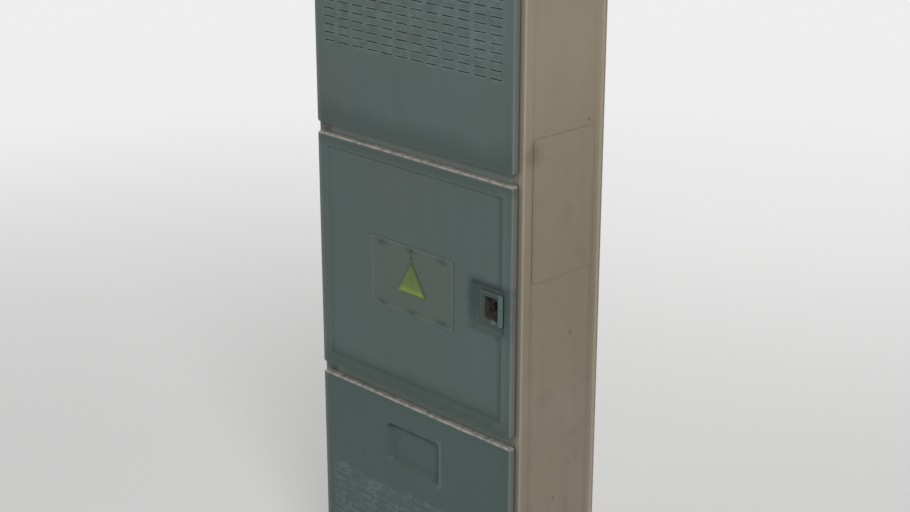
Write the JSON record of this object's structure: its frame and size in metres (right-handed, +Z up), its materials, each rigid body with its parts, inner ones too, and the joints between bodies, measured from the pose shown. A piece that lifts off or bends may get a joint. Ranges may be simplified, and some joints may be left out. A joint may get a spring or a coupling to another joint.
{
  "type": "fuse box",
  "caption": "Tall, shallow floor-standing steel fuse box with three square hinged doors one above another, vent slots, a latch, a blank sign plate and a plain plinth.",
  "frame": {"origin": "on the floor, under the centre of the bounding box", "axes": "+Z up, doors facing -Y, +X to the right of someone who faces the doors"},
  "size_m": [0.522, 0.215, 1.527],
  "materials": {
    "case_paint": "satin beige-grey enamel, worn pale on the folds",
    "plinth_paint": "satin dark grey enamel",
    "door_paint": "satin grey-green enamel, clouded and rubbed at the edges",
    "warning_yellow": "dull yellow enamel, browned towards the tip",
    "latch_black": "dark enamel with rust in the pocket",
    "zinc_plate": "dull zinc plate",
    "rivet_metal": "painted-over aluminium, dull",
    "seal_rubber": "matt black sponge",
    "grommet_rubber": "matt black",
    "magnet_black": "matt black moulding",
    "moulding_grey": "matt grey moulding",
    "fuse_ceramic": "unglazed off-white",
    "contact_metal": "dull, lightly tarnished",
    "knob_plastic": "semi-gloss black"
  },
  "bodies": {
    "case": {"side_left": "case_paint", "side_right": "case_paint", "side_cover": "case_paint", "back_panel": "case_paint", "roof_panel": "case_paint", "floor_panel": "case_paint", "plinth": "plinth_paint", "divider_lower": "door_paint", "divider_upper": "door_paint", "case_hinge_bottom_lower": "zinc_plate", "case_hinge_bottom_upper": "zinc_plate", "case_hinge_middle_lower": "zinc_plate", "case_hinge_middle_upper": "zinc_plate", "case_hinge_top_lower": "zinc_plate", "case_hinge_top_upper": "zinc_plate", "hinge_pins": "zinc_plate", "side_cover_nuts": "zinc_plate", "plate_nuts": "zinc_plate", "latch_keeper": "zinc_plate", "din_rail": "zinc_plate", "mounting_plate_middle": "zinc_plate", "mounting_plate_top": "zinc_plate", "cable_grommets": "grommet_rubber", "catch_bottom": "magnet_black", "catch_top": "magnet_black", "terminal_strip": "moulding_grey", "fuse_base_1": "moulding_grey", "fuse_base_2": "moulding_grey", "fuse_base_3": "moulding_grey", "main_switch": "moulding_grey", "fuse_link_1": "fuse_ceramic", "fuse_link_2": "fuse_ceramic", "fuse_link_3": "fuse_ceramic", "fuse_clips": "contact_metal", "busbar": "contact_metal", "earth_bar": "contact_metal"},
    "door_bottom": {"door_bottom": "door_paint", "seal_bottom": "seal_rubber", "door_hinge_bottom_lower": "zinc_plate", "door_hinge_bottom_upper": "zinc_plate", "strike_bottom": "zinc_plate"},
    "door_middle": {"door_middle": "door_paint", "seal_middle": "seal_rubber", "door_hinge_middle_lower": "zinc_plate", "door_hinge_middle_upper": "zinc_plate", "sign_plate": "door_paint", "sign_rivets": "rivet_metal", "sign_triangle": "warning_yellow", "triangle_screw": "zinc_plate", "latch_housing": "latch_black"},
    "door_top": {"door_top": "door_paint", "seal_top": "seal_rubber", "door_hinge_top_lower": "zinc_plate", "door_hinge_top_upper": "zinc_plate", "strike_top": "zinc_plate"},
    "latch": {"latch_spindle": "zinc_plate", "latch_cam": "zinc_plate", "cam_screw": "zinc_plate"},
    "switch": {"switch_knob": "knob_plastic"}
  },
  "joints": [
    {"name": "door_bottom_hinge", "type": "hinge", "parent": "case", "child": "door_bottom", "pos_m": [-0.2442, -0.1015, 0.3115], "axis": [0, 0, -1], "range_deg": [0, 105]},
    {"name": "door_middle_hinge", "type": "hinge", "parent": "case", "child": "door_middle", "pos_m": [-0.2442, -0.1015, 0.7935], "axis": [0, 0, -1], "range_deg": [0, 105]},
    {"name": "door_top_hinge", "type": "hinge", "parent": "case", "child": "door_top", "pos_m": [-0.2442, -0.1015, 1.2755], "axis": [0, 0, -1], "range_deg": [0, 105]},
    {"name": "latch_turn", "type": "hinge", "parent": "door_middle", "child": "latch", "pos_m": [0.198, -0.088, 0.7935], "axis": [0, -1, 0], "range_deg": [0, 90]},
    {"name": "switch_turn", "type": "hinge", "parent": "case", "child": "switch", "pos_m": [-0.112, 0, 0.7935], "axis": [0, 1, 0], "range_deg": [0, 90]}
  ]
}
